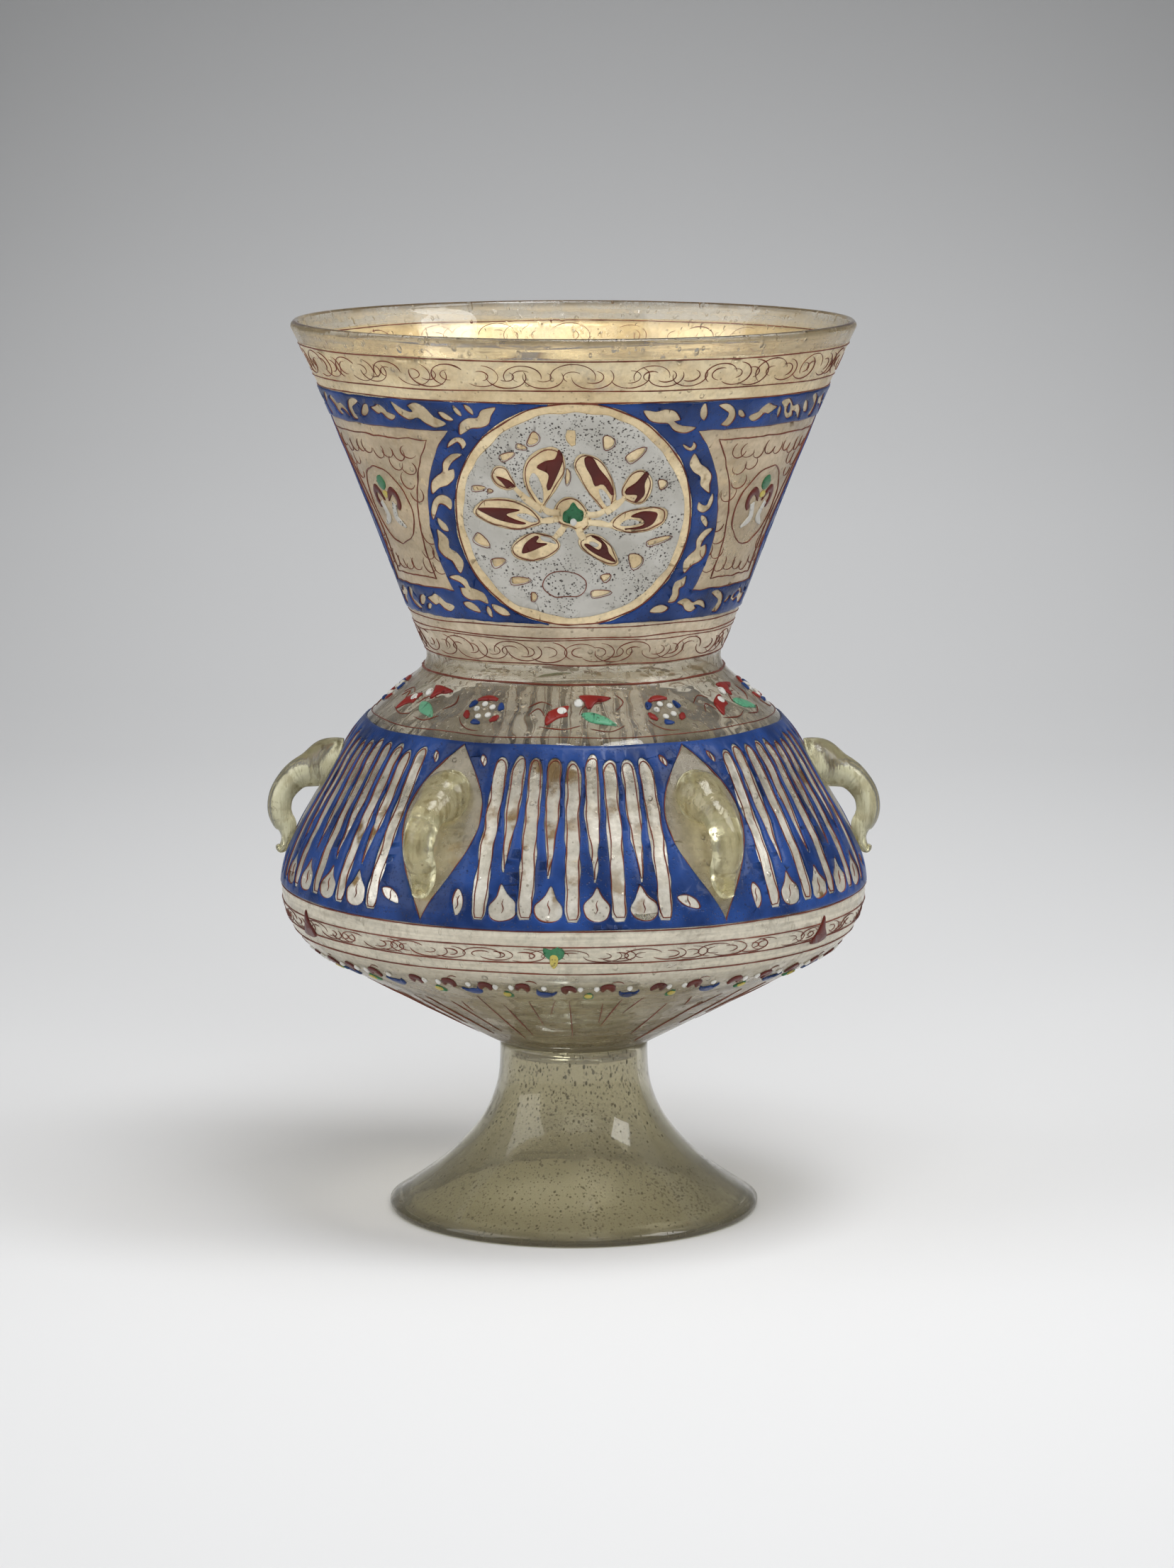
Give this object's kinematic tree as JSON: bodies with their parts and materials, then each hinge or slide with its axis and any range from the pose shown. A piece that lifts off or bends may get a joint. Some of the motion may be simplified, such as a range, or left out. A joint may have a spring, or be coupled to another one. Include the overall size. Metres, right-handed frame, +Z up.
{
  "type": "mosque lamp",
  "caption": "Enamelled and gilt glass mosque lamp: flared neck, round belly with applied loop handles, spreading foot, and a small lift-out oil cup with a wick holder inside.",
  "frame": {"origin": "centre of the foot's rest ring, on the table", "axes": "+Z up along the lamp's axis; -Y is the front, where the first white roundel is; +X to the right seen from the front"},
  "size_m": [0.1852, 0.1772, 0.27],
  "materials": {
    "lamp_glass": "old blown glass, faintly olive, seeded with small bubbles",
    "handle_glass": "thick tooled glass, yellow-green",
    "blue_enamel": "fired cobalt enamel, glossy, slightly uneven",
    "white_enamel": "fired opaque white enamel, speckled",
    "red_enamel": "fired red-brown enamel line and wash",
    "green_enamel": "fired green enamel",
    "yellow_enamel": "fired yellow enamel",
    "gilding": "worn fired gilding",
    "cup_glass": "clear blown glass",
    "wick_brass": "dull sheet brass",
    "wick_cotton": "twisted cotton"
  },
  "bodies": {
    "lamp": {"vessel": "lamp_glass", "foot": "lamp_glass", "handle_1": "handle_glass", "handle_2": "handle_glass", "handle_3": "handle_glass", "handle_4": "handle_glass", "handle_5": "handle_glass", "handle_6": "handle_glass", "neck_blue_enamel": "blue_enamel", "belly_blue_enamel": "blue_enamel", "roundel_enamel_1": "white_enamel", "roundel_enamel_2": "white_enamel", "roundel_enamel_3": "white_enamel"},
    "oil_cup": {"oil_cup": "cup_glass"},
    "wick_holder": {"wick_bridge": "wick_brass", "wick_tube": "wick_brass", "wick": "wick_cotton"}
  },
  "joints": [
    {"name": "oil_cup_lift", "type": "slide", "parent": "lamp", "child": "oil_cup", "axis": [0, 0, 1], "range_m": [0, 0.216]},
    {"name": "wick_holder_lift", "type": "slide", "parent": "oil_cup", "child": "wick_holder", "axis": [0, 0, 1], "range_m": [0, 0.045]}
  ]
}
